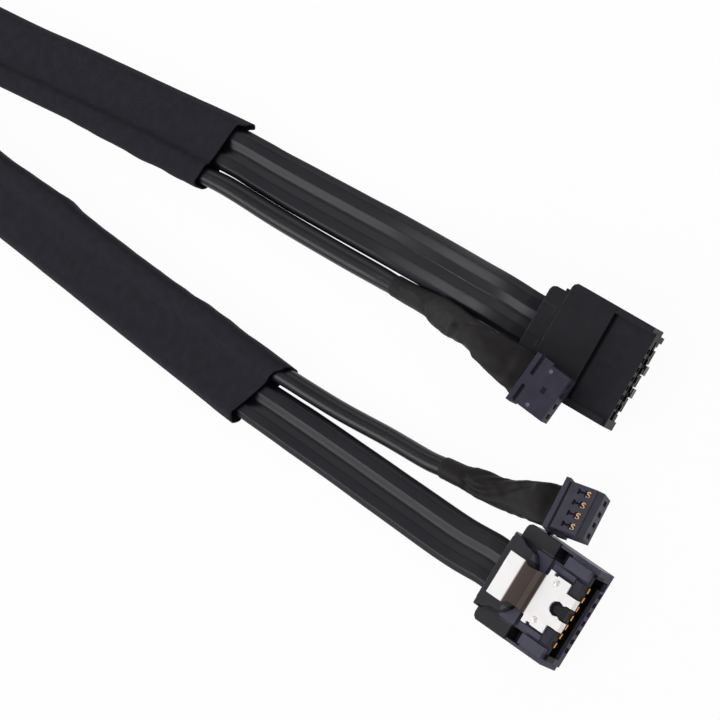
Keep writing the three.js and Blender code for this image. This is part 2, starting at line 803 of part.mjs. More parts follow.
function roundCable() {
  const inside = stations.map((place) => shifted(place, ROUND_ACROSS, ROUND_LEVEL));
  const startA = inside[0].point;
  const startB = inside[inside.length - 1].point;
  const gripA = bootA.slice(0, 3);
  const gripB = bootB.slice(0, 3);
  const runA = [
    startA.clone().addScaledVector(firstStation.along, 4),
    startA,
    startA.clone().addScaledVector(firstStation.along, -3.5),
    point(-22, 10.05, ROUND_RADIUS),
    point(-10, 10.1, ROUND_RADIUS),
    gripA[0].point.clone().addScaledVector(gripA[0].along, -2),
    gripA[0].point,
  ];
  const runB = [
    startB.clone().addScaledVector(lastStation.along, -4),
    startB,
    startB.clone().addScaledVector(lastStation.along, 3.5),
    point(2, -6.8, ROUND_RADIUS),
    point(11, -6.3, ROUND_RADIUS),
    gripB[0].point.clone().addScaledVector(gripB[0].along, -2),
    gripB[0].point,
  ];
  const places = [
    ...backwards([...framesThrough(runA, 1, 10), ...gripA.slice(1, 2)]),
    ...inside,
    ...framesThrough(runB, 1, 8),
    ...gripB.slice(1, 2),
  ];
  const outline = circleOutline(ROUND_RADIUS, ROUND_SIDES);
  return loft(places.map((place) => ringAt(place, outline)), outline);
}
layout.add(piece('round_cable', roundCable(), 'round'));

function addWires(end, places, group, upsideDown) {
  const rear = spot(group, -POWER_LENGTH + 0.4, 0, WIRE_LEVEL);
  const tail = { ...places[places.length - 1], point: rear };
  for (let i = 0; i < POWER_WAYS; i++) {
    const name = `power_wire_${end}_${upsideDown ? POWER_WAYS - i : i + 1}`;
    layout.add(piece(name, wire(i, places.slice(2), tail), 'wire'));
  }
}
addWires('a', bootA, powerA, true);
addWires('b', bootB, powerB, false);

// The part's origin is the middle of its box at table level.
const extent = new THREE.Box3().setFromObject(layout, true);
const centre = extent.getCenter(new THREE.Vector3());
layout.position.set(-centre.x, -centre.y, -extent.min.z);

const part = new THREE.Group();
part.add(layout);

export default part;
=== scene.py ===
"""Looks for a sleeved drive cable.

A twin-lobe data cable and a round power cable run through one flat sleeve. Each end has a latching
plug on the data cable and a small 4-way block on the round cable.
"""

import math

import bpy
from mathutils import Matrix, Vector, noise


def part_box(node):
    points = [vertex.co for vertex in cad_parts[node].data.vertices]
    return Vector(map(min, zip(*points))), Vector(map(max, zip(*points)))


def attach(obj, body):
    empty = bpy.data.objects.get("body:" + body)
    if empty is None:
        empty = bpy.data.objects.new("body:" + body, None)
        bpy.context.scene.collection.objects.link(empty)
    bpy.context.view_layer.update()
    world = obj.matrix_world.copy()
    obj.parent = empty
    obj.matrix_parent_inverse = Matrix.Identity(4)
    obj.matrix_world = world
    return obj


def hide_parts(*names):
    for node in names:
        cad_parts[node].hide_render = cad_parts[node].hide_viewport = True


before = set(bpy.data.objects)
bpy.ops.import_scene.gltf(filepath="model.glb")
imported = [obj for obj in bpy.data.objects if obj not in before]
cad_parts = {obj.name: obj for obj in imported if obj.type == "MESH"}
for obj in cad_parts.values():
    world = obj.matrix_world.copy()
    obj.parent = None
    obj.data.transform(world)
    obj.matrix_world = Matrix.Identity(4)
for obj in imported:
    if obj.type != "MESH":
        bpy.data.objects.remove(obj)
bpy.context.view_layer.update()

MM = 0.001
BODY = "cable"

# ---- Sizes and places, in millimetres in the layout's own frame, where the table is z = 0.
DATA_WIDTH = 6.5
DATA_THICK = 1.8
ROUND_RADIUS = 1.25
SLEEVE_HALF = 5.1
SLEEVE_WALL = 0.25
SLEEVE_PLAY = 0.1
SLEEVE_DRAW = 0.35
DRAW_REACH = 32
DATA_ACROSS = -1.05
ROUND_ACROSS = 3.5
SLEEVE_ROUTE = [
    (-35, 13.6),
    (-47, 13.0),
    (-59, 12.15),
    (-78, 10.75),
    (-94, 10.3),
    (-108, 12.0),
    (-121, 16.2),
    (-134, 18.6),
    (-143.4, 15.5),
    (-149.2, 7.5),
    (-149.2, -2.3),
    (-143.4, -10.3),
    (-134, -13.4),
    (-121, -11.0),
    (-108, -6.8),
    (-94, -5.1),
    (-78, -5.5),
    (-65, -6.45),
    (-48, -7.75),
    (-31, -8.85),
    (-10, -10.2),
]
FLAT_A = 47
FLAT_B = 73
TWIST_LENGTH = 46
CUT_LEAN_A = 0.17
CUT_LEAN_B = 0.37
CUT_REACH = 7
DATA_LEVEL = SLEEVE_WALL + SLEEVE_PLAY
DATA_ROOF = DATA_LEVEL + DATA_THICK + SLEEVE_PLAY
ROUND_LEVEL = DATA_LEVEL + ROUND_RADIUS
ROUND_ROOF = ROUND_LEVEL + ROUND_RADIUS + SLEEVE_PLAY
NECK_REAR = -15
CABLE_SEAT = 2
CABLE_FLOOR = 0.45
LATCH_TOP = 4.5
POWER_LENGTH = 5.5
POWER_HEIGHT = 2.5
WIRE_LEVEL = 1.25
BOOT_WALL = 0.25
BOOT_GAP = 0.1
BOOT_GRIP = 3.2
TILT_A = 14
PLUG_A = (40.1, 15.45)
PLUG_A_REST = 0.05
PLUG_B = (49.45, -12.95, 0)
PLUG_B_YAW = -2
STACK_GAP = 0.06
POWER_A = (-5.95, -6.8)
POWER_A_YAW = -6
POWER_B = (44.15, -1.65, 0.7)
POWER_B_YAW = 10
POWER_B_PITCH = 8
POWER_B_ROLL = -12
CONTACT_MIDDLE = (-2.475, 0, 3.12)

# The camera, at the photograph's distance and angle.
CAMERA_DISTANCE = 620
CAMERA_TILT = 37
CAMERA_AZIMUTH = 4
CAMERA_ROLL = 63.435
PIXELS_PER_MM = 7.92
FOCAL_PIXELS = PIXELS_PER_MM * CAMERA_DISTANCE
FRAME_PIXELS = 720
SENSOR = 36
CAMERA_FAR = 10

# How finely the pieces are cut along their length.
STATION_STEP = 2.0
CLOTH_STEP = 1.0
DATA_STEPS = {"a": 60, "b": 40}
ROUND_STEPS = {"a": 40, "b": 30}
BOOT_STEPS = {"a": 90, "b": 70}
GRIP_STEPS = 8
CURL_STEPS = 40
DOME_STEPS = 9
TURNED_SIDES = 32
ROUTE_STEPS = 40
CORNER_CUT = 0.25


# ---- Places of the four connectors.
def turn(axis, degrees):
    return Matrix.Rotation(math.radians(degrees), 4, axis)


def smooth(x):
    x = min(1.0, max(0.0, x))
    return x * x * (3 - 2 * x)


def lerp(a, b, t):
    return a + (b - a) * t


def read_table(table, x):
    """The values of a table of (place, values...) rows at a place, eased between its rows."""
    if x <= table[0][0]:
        return list(table[0][1:])
    for a, b in zip(table, table[1:]):
        if x <= b[0]:
            t = smooth((x - a[0]) / (b[0] - a[0]))
            return [lerp(p, q, t) for p, q in zip(a[1:], b[1:])]
    return list(table[-1][1:])


def table_shift():
    """From the layout's frame to the part's, by the middle contact of plug B."""
    low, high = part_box("plug_contact_b_4")
    local = turn("Z", PLUG_B_YAW) @ Vector(CONTACT_MIDDLE)
    return (low + high) / 2 / MM - Vector(PLUG_B) - local


SHIFT = Matrix.Translation(table_shift())
REST_A = LATCH_TOP * math.cos(math.radians(TILT_A)) + PLUG_A_REST
SIDE_A = Matrix.Translation((PLUG_A[0], PLUG_A[1], REST_A)) @ turn("Y", TILT_A)
AT_PLUG_A = SIDE_A @ turn("X", 180)
AT_POWER_A = (
    SIDE_A
    @ Matrix.Translation((POWER_A[0], POWER_A[1], POWER_HEIGHT + STACK_GAP))
    @ turn("Z", POWER_A_YAW)
    @ turn("X", 180)
)
AT_PLUG_B = Matrix.Translation(PLUG_B) @ turn("Z", PLUG_B_YAW)
AT_POWER_B = (
    Matrix.Translation(POWER_B)
    @ turn("Z", POWER_B_YAW)
    @ turn("Y", POWER_B_PITCH)
    @ turn("X", POWER_B_ROLL)
)


# ---- Curves and cross-section frames.
class Route:
    """A centripetal Catmull-Rom curve through its knots."""

    def __init__(self, knots):
        self.knots = [Vector(k) for k in knots]
        steps = ROUTE_STEPS * (len(knots) - 1)
        self.table = [0.0]
        last = self.point(0)
        for i in range(1, steps + 1):
            here = self.point(i / steps)
            self.table.append(self.table[-1] + (here - last).length)
            last = here
        self.length = self.table[-1]

    def point(self, t):
        p = self.knots
        spans = len(p) - 1
        k = min(spans - 1, int(t * spans))
        w = t * spans - k
        a = p[k - 1] if k else p[0] * 2 - p[1]
        b, c = p[k], p[k + 1]
        d = p[k + 2] if k + 2 <= spans else p[-1] * 2 - p[-2]
        s0, s1, s2 = (math.sqrt((q - r).length) for q, r in ((b, a), (c, b), (d, c)))
        t1 = ((b - a) / s0 - (c - a) / (s0 + s1) + (c - b) / s1) * s1
        t2 = ((c - b) / s1 - (d - b) / (s1 + s2) + (d - c) / s2) * s1
        return b + t1 * w + (3 * (c - b) - 2 * t1 - t2) * w**2 + (2 * (b - c) + t1 + t2) * w**3

    def tangent(self, t):
        return (self.point(min(1, t + 1e-4)) - self.point(max(0, t - 1e-4))).normalized()

    def at(self, distance):
        """The curve's own parameter at a distance along it."""
        distance = min(self.length, max(0, distance))
        low, high = 0, len(self.table) - 1
        while high - low > 1:
            middle = (low + high) // 2
            if self.table[middle] <= distance:
                low = middle
            else:
                high = middle
        part = (distance - self.table[low]) / (self.table[high] - self.table[low])
        return (low + part) / (len(self.table) - 1)


def section_frame(point, heading, roll=0.0):
    along = heading.normalized()
    left = Vector((-along.y, along.x, 0)).normalized()
    rise = along.cross(left)
    across = left * math.cos(roll) - rise * math.sin(roll)
    up = left * math.sin(roll) + rise * math.cos(roll)
    return {"point": point.copy(), "along": along, "across": across, "up": up}


def shifted(place, u, v):
    return {**place, "point": place["point"] + place["across"] * u + place["up"] * v}


def ring(place, outline, lean=0.0):
    base, across, up, along = (place[k] for k in ("point", "across", "up", "along"))
    return [base + across * u + up * v + along * (lean * u) for u, v in outline]


def frames_through(knots, first, count, rolls=(0.0, 0.0)):
    """Frames along a curve through the knots, from its knot number first to its end."""
    route = Route(knots)
    start = first / (len(knots) - 1)
    places = []
    for i in range(1, count + 1):
        t = start + (1 - start) * i / count
        roll = lerp(rolls[0], rolls[1], i / count)
        places.append(section_frame(route.point(t), route.tangent(t), roll))
    return places


def backwards(places):
    flipped = []
    for place in reversed(places):
        turned = dict(place)
        turned["along"] = -place["along"]
        turned["across"] = -place["across"]
        flipped.append(turned)
    return flipped


# ---- Meshes.
def rounded(corners, passes=3):
    """A closed outline with its corners cut again and again."""
    for _ in range(passes):
        cut = []
        for i, a in enumerate(corners):
            b = corners[(i + 1) % len(corners)]
            for t in (CORNER_CUT, 1 - CORNER_CUT):
                cut.append((lerp(a[0], b[0], t), lerp(a[1], b[1], t)))
        corners = cut
    return corners


def inset(outline, depth):
    """A counter-clockwise outline moved inward by a depth."""
    moved = []
    n = len(outline)
    for i, (u, v) in enumerate(outline):
        a = outline[i - 1]
        b = outline[(i + 1) % n]
        du, dv = b[0] - a[0], b[1] - a[1]
        size = math.hypot(du, dv)
        moved.append((u - dv / size * depth, v + du / size * depth))
    return moved


def lay_map(mesh, along, sides, girth):
    """A map with metres along the piece in U and metres round it in V."""
    layer = mesh.uv_layers.new(name="lay")
    for face in mesh.polygons:
        turns = [mesh.loops[k].vertex_index % sides for k in face.loop_indices]
        wraps = max(turns) - min(turns) > sides / 2
        for k, j in zip(face.loop_indices, turns):
            i = mesh.loops[k].vertex_index // sides % len(along)
            round_it = sides if wraps and j < sides / 2 else j
            layer.data[k].uv = (along[i] * MM, round_it * girth / sides * MM)


def make_piece(name, points, faces, material, body=BODY, sharp=40, place=SHIFT, rings=None):
    mesh = bpy.data.meshes.new(name)
    mesh.from_pydata([(place @ p) * MM for p in points], [], faces)
    if rings:
        centres = [sum(r, Vector()) / len(r) for r in rings]
        along = [0.0]
        for a, b in zip(centres, centres[1:]):
            along.append(along[-1] + (b - a).length)
        first = rings[0]
        girth = sum((p - first[i - 1]).length for i, p in enumerate(first))
        lay_map(mesh, along, len(first), girth)
    mesh.validate()
    mesh.polygons.foreach_set("use_smooth", [True] * len(mesh.polygons))
    mesh.set_sharp_from_angle(angle=math.radians(sharp))
    mesh.materials.append(material)
    piece = bpy.data.objects.new(name, mesh)
    bpy.context.scene.collection.objects.link(piece)
    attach(piece, body)
    return piece


def skin(rings, flip=False, start=0):
    """Quads between rings of equal count."""
    n = len(rings[0])
    faces = []
    for i in range(len(rings) - 1):
        for j in range(n):
            a = start + i * n + j
            b = start + i * n + (j + 1) % n
            quad = (a, b, b + n, a + n)
            faces.append(tuple(reversed(quad)) if flip else quad)
    return faces


def solid_loft(rings):
    n = len(rings[0])
    faces = skin(rings)
    faces.append(tuple(reversed(range(n))))
    last = n * (len(rings) - 1)
    faces.append(tuple(range(last, last + n)))
    return [p for r in rings for p in r], faces


def hollow_loft(rings, inner):
    n = len(rings[0])
    base = n * len(rings)
    faces = skin(rings) + skin(inner, flip=True, start=base)
    for turn_at, flip in ((0, True), (len(rings) - 1, False)):
        for j in range(n):
            a = turn_at * n + j
            b = turn_at * n + (j + 1) % n
            quad = (a, b, base + b, base + a)
            faces.append(tuple(reversed(quad)) if flip else quad)
    return [p for r in rings + inner for p in r], faces


# ---- Materials.
def linear(hex_colour):
    parts = [(hex_colour >> s & 255) / 255 for s in (16, 8, 0)]
    return [c / 12.92 if c <= 0.04045 else ((c + 0.055) / 1.055) ** 2.4 for c in parts] + [1.0]


def noise_at(nodes, links, coords, size, detail=3, stretch=1.0):
    """A noise of a size in mm, drawn out along the piece's length by the stretch."""
    where = nodes.new("ShaderNodeTexCoord")
    scale = nodes.new("ShaderNodeMapping")
    scale.inputs["Scale"].default_value = (1 / stretch, 1, 1)
    speckle = nodes.new("ShaderNodeTexNoise")
    speckle.inputs["Scale"].default_value = 1 / (size * MM)
    speckle.inputs["Detail"].default_value = detail
    links.new(where.outputs[coords], scale.inputs["Vector"])
    links.new(scale.outputs["Vector"], speckle.inputs["Vector"])
    return speckle.outputs["Fac"]


def weave_at(nodes, links, pitch):
    """Warp and weft threads a pitch apart, in the piece's own map."""
    where = nodes.new("ShaderNodeTexCoord")
    split = nodes.new("ShaderNodeSeparateXYZ")
    links.new(where.outputs["UV"], split.inputs["Vector"])
    threads = []
    for axis in ("X", "Y"):
        turns = nodes.new("ShaderNodeMath")
        turns.operation = "MULTIPLY"
        turns.inputs[1].default_value = 2 * math.pi / (pitch * MM)
        wave = nodes.new("ShaderNodeMath")
        wave.operation = "SINE"
        links.new(split.outputs[axis], turns.inputs[0])
        links.new(turns.outputs[0], wave.inputs[0])
        threads.append(wave.outputs[0])
    crossing = nodes.new("ShaderNodeMath")
    crossing.operation = "MULTIPLY"
    links.new(threads[0], crossing.inputs[0])
    links.new(threads[1], crossing.inputs[1])
    return crossing.outputs[0]


def add_relief(nodes, links, height, depth, normal):
    relief = nodes.new("ShaderNodeBump")
    relief.inputs["Strength"].default_value = 1
    relief.inputs["Distance"].default_value = depth * MM
    links.new(height, relief.inputs["Height"])
    if normal:
        links.new(normal, relief.inputs["Normal"])
    return relief.outputs["Normal"]


def blend_colour(nodes, links, share, first, second):
    """A socket with two colours mixed by a share; each is a colour or a socket."""
    mix = nodes.new("ShaderNodeMix")
    mix.data_type = "RGBA"
    links.new(share, mix.inputs["Factor"])
    ends = [k for k in mix.inputs if k.type == "RGBA"]
    for end, colour in zip(ends, (first, second)):
        if isinstance(colour, int):
            end.default_value = linear(colour)
        else:
            links.new(colour, end)
    return next(k for k in mix.outputs if k.type == "RGBA")


def span(nodes, links, value, start, end, low=0.0, high=1.0):
    """A value's way from start to end, given as low to high."""
    way = nodes.new("ShaderNodeMapRange")
    way.inputs["From Min"].default_value = start
    way.inputs["From Max"].default_value = end
    way.inputs["To Min"].default_value = low
    way.inputs["To Max"].default_value = high
    links.new(value, way.inputs["Value"])
    return way.outputs["Result"]


def finish(
    name,
    colour,
    roughness,
    metallic=0.0,
    specular=0.5,
    tint=None,
    patch=3.0,
    uneven=0.04,
    grain=0.3,
    bump=0.0,
    stretch=1.0,
    edge=0.0,
    weave=None,
):
    """A principled material: mottled between two colours, with a grain or weave and soft edges."""
    material = bpy.data.materials.new(name)
    material.use_nodes = True
    nodes, links = material.node_tree.nodes, material.node_tree.links
    shader = nodes["Principled BSDF"]
    shader.inputs["Base Color"].default_value = linear(colour)
    shader.inputs["Metallic"].default_value = metallic
    shader.inputs["Specular IOR Level"].default_value = specular
    coords = "UV" if stretch != 1.0 or weave else "Object"
    mottle = noise_at(nodes, links, coords, patch, 4, stretch)
    if tint is not None:
        share = span(nodes, links, mottle, 0.3, 0.7)
        links.new(blend_colour(nodes, links, share, colour, tint), shader.inputs["Base Color"])
    rough = span(nodes, links, mottle, 0.25, 0.75, roughness - uneven, roughness + uneven)
    links.new(rough, shader.inputs["Roughness"])
    normal = None
    if edge:
        bevel = nodes.new("ShaderNodeBevel")
        bevel.samples = 4
        bevel.inputs["Radius"].default_value = edge * MM
        normal = bevel.outputs["Normal"]
    if weave:
        normal = add_relief(nodes, links, weave_at(nodes, links, weave), bump, normal)
    speckle = noise_at(nodes, links, coords, grain, 3, stretch)
    links.new(add_relief(nodes, links, speckle, bump, normal), shader.inputs["Normal"])
    return material


def paint_box(material, at, spans, colour, soft=0.05, metallic=None):
    """Another colour inside a box, given as axis: (low, high) in mm in a connector's own frame."""
    nodes, links = material.node_tree.nodes, material.node_tree.links
    matrix = SHIFT @ at
    where = nodes.new("ShaderNodeTexCoord")
    share = None
    for axis, (low, high) in spans.items():
        way = matrix.to_3x3().col[axis].normalized()
        start = way.dot(matrix.translation)
        dot = nodes.new("ShaderNodeVectorMath")
        dot.operation = "DOT_PRODUCT"
        dot.inputs[1].default_value = way
        links.new(where.outputs["Object"], dot.inputs[0])
        for edge, side in ((low, soft), (high, -soft)):
            far = (start + edge - side) * MM
            near = (start + edge + side) * MM
            step = span(nodes, links, dot.outputs["Value"], far, near)
            if share is None:
                share = step
                continue
            both = nodes.new("ShaderNodeMath")
            both.operation = "MULTIPLY"
            links.new(share, both.inputs[0])
            links.new(step, both.inputs[1])
            share = both.outputs[0]
    base = nodes["Principled BSDF"].inputs["Base Color"]
    under = base.links[0].from_socket
    links.new(blend_colour(nodes, links, share, under, colour), base)
    if metallic is not None:
        shine = nodes["Principled BSDF"].inputs["Metallic"]
        links.new(span(nodes, links, share, 0, 1, shine.default_value, metallic), shine)


CLOTH = finish(
    "sleeve_cloth",
    0x1D1D24,
    0.8,
    specular=0.14,
    tint=0x26262E,
    patch=1.6,
    grain=0.25,
    bump=0.009,
    weave=0.3,
)
JACKET = finish(
    "cable_jacket",
    0x0F0F17,
    0.4,
    specular=0.2,
    tint=0x14141D,
    patch=0.4,
    uneven=0.02,
    grain=0.12,
    bump=0.0012,
    stretch=8,
)
ROUND = finish(
    "round_jacket",
    0x0E0E15,
    0.38,
    specular=0.24,
    tint=0x12121A,
    patch=0.4,
    uneven=0.02,
    grain=0.15,
    bump=0.001,
    stretch=8,
)


def mould(name, colour, tint):
    return finish(
        name,
        colour,
        0.48,
        specular=0.3,
        tint=tint,
        patch=1.5,
        grain=0.12,
        bump=0.004,
        edge=0.22,
    )


def nylon(name, colour, tint, specular=0.3):
    return finish(
        name,
        colour,
        0.46,
        specular=specular,
        tint=tint,
        patch=1.5,
        grain=0.15,
        bump=0.003,
        edge=0.12,
    )


def steel(name):
    return finish(
        name,
        0xFFFDFC,
        0.26,
        metallic=0.3,
        tint=0xFAF8F8,
        patch=1.2,
        uneven=0.015,
        bump=0.0004,
        edge=0.06,
    )


def gilt(name, colour, tint):
    return finish(
        name,
        colour,
        0.25,
        metallic=0.85,
        tint=tint,
        patch=0.5,
        grain=0.2,
        bump=0.001,
        edge=0.05,
    )


# Plug A's overmold: a darker copy of plug B's black mould, painted shade.
SHADED_MOULD_A = mould("black_mould_a_painted_shade", 0x1A1A20, 0x1F1F26)
MOULD_B = mould("black_mould_b", 0x1F1F25, 0x26262D)
DARK_NYLON = nylon("black_nylon", 0x26262B, 0x2C2C32, 0.15)
GREY_NYLON = nylon("grey_nylon", 0x454454, 0x4C4B5B, 0.25)
# Block A: a darker, less shiny copy of block B's nylon, painted shade.
SHADED_BLOCK_A = nylon("header_nylon_a_painted_shade", 0x3B3A47, 0x42414F, 0.1)
BLOCK_B = nylon("header_nylon_b", 0x41404D, 0x494856)
STEEL_A = steel("bright_steel_a")
STEEL_B = steel("bright_steel_b")
GOLD = gilt("gold_plate", 0xE0A850, 0xC98F3E)
# The terminal curls: gold plate painted near white, a painted highlight for their glints.
GLINT_GOLD = finish(
    "gold_plate_painted_glint",
    0xFFE9C4,
    0.3,
    metallic=0.1,
    tint=0xF8C880,
    patch=0.25,
    grain=0.2,
    bump=0.001,
)
# Plug A's contacts: a dark copy of the gold plate, painted shade.
SHADED_GOLD = gilt("shaded_gold_plate", 0x4A361C, 0x3C2C18)
SHRINK = finish(
    "shrink_boot",
    0x151214,
    0.58,
    specular=0.18,
    tint=0x1E1A1C,
    patch=1.4,
    grain=0.22,
    bump=0.014,
)
WIRE = finish("wire_skin", 0x141416, 0.45, tint=0x1A1A1D)

# Other colours in boxes of the connectors' own frames: axis 0 runs to the mating face, 2 is up.
TAB_GREY = 0x45444F
POST_AND_SHADE_BLACK = 0x131316
SLOT_SHADE_BLACK = 0x08080A
RECESS_SHADE_DARK = 0x25242D
SHADED_STEEL = 0x2A2A2E
BEND_BROWN = 0x5A4A47
RISE_BROWN = 0x46372F
for tab in ((3.15, 4.95), (-4.9, -3.3)):
    paint_box(MOULD_B, AT_PLUG_B, {0: (-8.9, -6.4), 1: tab}, TAB_GREY)
POSTS = {2: (4.28, 9)}
FRONT_WALL_SHADE = {0: (-0.5, 1), 1: (-6, 6), 2: (1.9, 9)}
SLOT_FLOOR = {0: (-2.2, -0.55), 1: (-5.5, 5.5), 2: (0, 3)}
# Plug B's posts are painted near black.
paint_box(GREY_NYLON, AT_PLUG_B, POSTS, POST_AND_SHADE_BLACK)
# Painted shade: plug B's front wall above the slots is painted near black.
paint_box(GREY_NYLON, AT_PLUG_B, FRONT_WALL_SHADE, POST_AND_SHADE_BLACK)
# Painted shade: the floor of plug B's slots is painted almost black.
paint_box(GREY_NYLON, AT_PLUG_B, SLOT_FLOOR, SLOT_SHADE_BLACK)
# Painted shade: a small recess in block A's sole is painted darker.
SOLE_RECESS = {0: (-2.4, -1.74), 1: (-0.47, 0.33), 2: (-0.3, 0.1)}
paint_box(SHADED_BLOCK_A, AT_POWER_A, SOLE_RECESS, RECESS_SHADE_DARK)
paint_box(STEEL_A, AT_PLUG_A, {0: (-1.0, 2)}, SHADED_STEEL)
for steel_finish, at in ((STEEL_A, AT_PLUG_A), (STEEL_B, AT_PLUG_B)):
    paint_box(steel_finish, at, {0: (-8.2, -5.75)}, BEND_BROWN, 0.12, metallic=0.1)
    paint_box(steel_finish, at, {0: (-6.95, -5.75)}, RISE_BROWN, 0.08)


# ---- The sleeve.
def hang(roll):
    """How far the CAD section's lowest corner hangs below its origin at a roll."""
    half = SLEEVE_HALF
    high = ROUND_ROOF + SLEEVE_WALL
    top = DATA_ROOF + SLEEVE_WALL
    corners = [
        (-half + 0.45, 0),
        (half - 0.55, 0),
        (half, 0.8),
        (half, high - 1),
        (half - 0.6, high - 0.1),
        (ROUND_ACROSS, high),
        (-half + 0.65, top),
        (-half, top - 0.65),
        (-half, 0.6),
    ]
    return max(u * math.sin(roll) - v * math.cos(roll) for u, v in corners)


def sleeve_frames(step):
    route = Route([(x, y, 0) for x, y in SLEEVE_ROUTE])
    length = route.length
    count = round(length / step)
    places = []
    for i in range(count + 1):
        s = length * i / count
        turn_in = smooth((s - FLAT_A) / TWIST_LENGTH)
        turn_out = smooth((length - FLAT_B - s) / TWIST_LENGTH)
        roll = math.pi / 2 * turn_in * turn_out
        t = route.at(s)
        point = route.point(t)
        point.z = hang(roll)
        place = section_frame(point, route.tangent(t), roll)
        near_a = 1 - smooth(s / CUT_REACH)
        near_b = 1 - smooth((length - s) / CUT_REACH)
        place["lean"] = CUT_LEAN_A * near_a + CUT_LEAN_B * near_b
        place["draw"] = SLEEVE_DRAW * smooth(s / DRAW_REACH) * smooth((length - s) / DRAW_REACH)
        place["from_a"] = s
        place["from_b"] = length - s
        places.append(place)
    return places


# How far each edge of the sleeve stands off the CAD's: the edge over the round cable outward, and
# the edge over the data cable inward, by the distance from the cut end.
EDGES_A = [
    (0, 0.3, -0.08),
    (2, 0.38, -0.04),
    (4.5, 0.45, 0.04),
    (8.3, 0.33, 0.13),
    (12, 0.48, 0.17),
    (15.8, 0.26, 0.14),
    (19.4, 0.2, 0.05),
    (23, 0.04, 0),
    (27, -0.15, -0.06),
    (31, -0.19, -0.09),
    (38, -0.24, 0),
    (50, -0.1, 0),
    (60, 0, 0),
]
EDGES_B = [
    (0, 0.04, -0.1),
    (3.9, 0.09, -0.1),
    (7.6, 0.01, -0.04),
    (11.3, 0.11, 0),
    (15, 0.11, 0),
    (18.7, -0.11, 0),
    (24, -0.17, 0.02),
    (30, -0.16, 0.08),
    (33.6, -0.11, 0.17),
    (37.3, -0.1, 0.24),
    (41.5, -0.03, 0.27),
    (44.2, 0.29, 0.33),
    (48, 0.06, 0.33),
    (52, -0.1, 0.33),
    (57, -0.3, 0.3),
    (72, 0, 0),
]


RIPPLE_RATE = 0.42
RIPPLE_SIZE = 0.13
FINE_RATE = 1.1
FINE_SIZE = 0.05


def ripple(s, seed, reach):
    """Small uneven ripples in a loose edge, fading along the sleeve."""
    large = noise.noise(Vector((s * RIPPLE_RATE, seed, 0))) * RIPPLE_SIZE
    fine = noise.noise(Vector((s * FINE_RATE, seed, 3))) * FINE_SIZE
    return (large + fine) * (1 - smooth(s / reach))


MOUTH_REACH = 6
MOUTH_LIFT = 0.12
FIN_REACH = 30


def sleeve_section(place):
    from_a, from_b = place["from_a"], place["from_b"]
    out_a, in_a = read_table(EDGES_A, from_a)
    out_b, in_b = read_table(EDGES_B, from_b)
    near = place["draw"] - SLEEVE_HALF + in_a + in_b
    far = SLEEVE_HALF + out_a + out_b + ripple(from_a, 1, 34) + 0.6 * ripple(from_b, 7, 60)
    top = DATA_ROOF + SLEEVE_WALL
    high = ROUND_ROOF + SLEEVE_WALL
    from_end = min(from_a, from_b)
    top += MOUTH_LIFT * (1 - smooth(from_end / MOUTH_REACH))
    fin = 0.3 + 0.4 * (1 - smooth(from_end / FIN_REACH))
    edge = near + 0.15
    corners = [
        (edge + 0.9, 0),
        (-2.4, 0),
        (0, 0),
        (2.2, 0),
        (far - 1.3, 0),
        (far - 0.35, 0.05),
        (far, 0.75),
        (far, 1.5),
        (far, high - 0.75),
        (far - 0.5, high),
        (ROUND_ACROSS, high + 0.1),
        (ROUND_ACROSS - 1.1, high),
        (1.9, top + 0.12),
        (1.2, top),
        (0, top - 0.05),
        (-1.4, top - 0.02),
        (-2.8, top),
        (edge + 0.8, top),
        (edge + 0.35, top - 0.1 - fin * 0.3),
        (edge - 0.05, top - 0.55 - fin * 0.6),
        (near - 0.1, 1.35 - fin * 0.2),
        (near - 0.1, 0.75),
        (edge + 0.15, 0.25),
    ]
    return rounded(corners, 2)


# How much further than the cut line each end of the sleeve reaches, by the place across it.
LIPS_A = [(-9, 1.15), (-4.75, 1.15), (-4.2, 0.1), (-3.2, 0), (2.2, 0), (3.6, 0.15), (6, -0.1)]
LIPS_B = [(-9, 0.3), (-4.6, 0.25), (-3.9, -0.1), (-2, 0), (3.4, 0), (4.4, 0.5), (9, 0.6)]
LIP_REACH = 3.5


def lip(place, u):
    """The cut end's own uneven line, along the sleeve."""
    reach_a = 1 - smooth(place["from_a"] / LIP_REACH)
    reach_b = 1 - smooth(place["from_b"] / LIP_REACH)
    return read_table(LIPS_B, u)[0] * reach_b - read_table(LIPS_A, u)[0] * reach_a


def sleeve_ring(place, outline, across):
    """A ring of the sleeve, by its own outline and the outer outline, kept above the table."""
    line = ring(place, outline, place["lean"])
    points = [p + place["along"] * lip(place, u) for p, (u, v) in zip(line, across)]
    return [Vector((p.x, p.y, max(p.z, 0))) for p in points]


CLOTH_WALL = SLEEVE_WALL * 0.8


def build_sleeve():
    outer, inner = [], []
    for place in sleeve_frames(CLOTH_STEP):
        outline = sleeve_section(place)
        outer.append(sleeve_ring(place, outline, outline))
        inner.append(sleeve_ring(place, inset(outline, CLOTH_WALL), outline))
    points, faces = hollow_loft(outer, inner)
    piece = make_piece("sleeve_cloth", points, faces, CLOTH, rings=outer + inner)
    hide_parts("sleeve")
    return piece


# ---- The data cable.
def lobe_outline():
    half = DATA_WIDTH / 2
    top = DATA_THICK
    side = [
        (0.25, 0.4),
        (0.8, 0.06),
        (1.2, 0),
        (2.3, 0),
        (2.75, 0.1),
        (half, 0.55),
        (half + 0.02, 0.9),
        (half, top - 0.6),
        (2.6, top - 0.08),
        (2.4, top),
        (1.3, top),
        (1.1, top - 0.05),
        (0.25, top - 0.55),
    ]
    mirror = [(-u, v) for u, v in reversed(side)]
    return rounded([(0, 0.6)] + side + [(0, top - 0.62)] + mirror, 2)


NECK_LEAD = 1.2


def seated(at, floor):
    """The cable's two last places, at the neck's mouth and inside it."""
    mouth = at @ Vector((NECK_REAR - 0.2, 0, floor))
    end = at @ Vector((NECK_REAR + CABLE_SEAT - 0.1, 0, floor))
    return [section_frame(mouth, end - mouth), section_frame(end, end - mouth)]


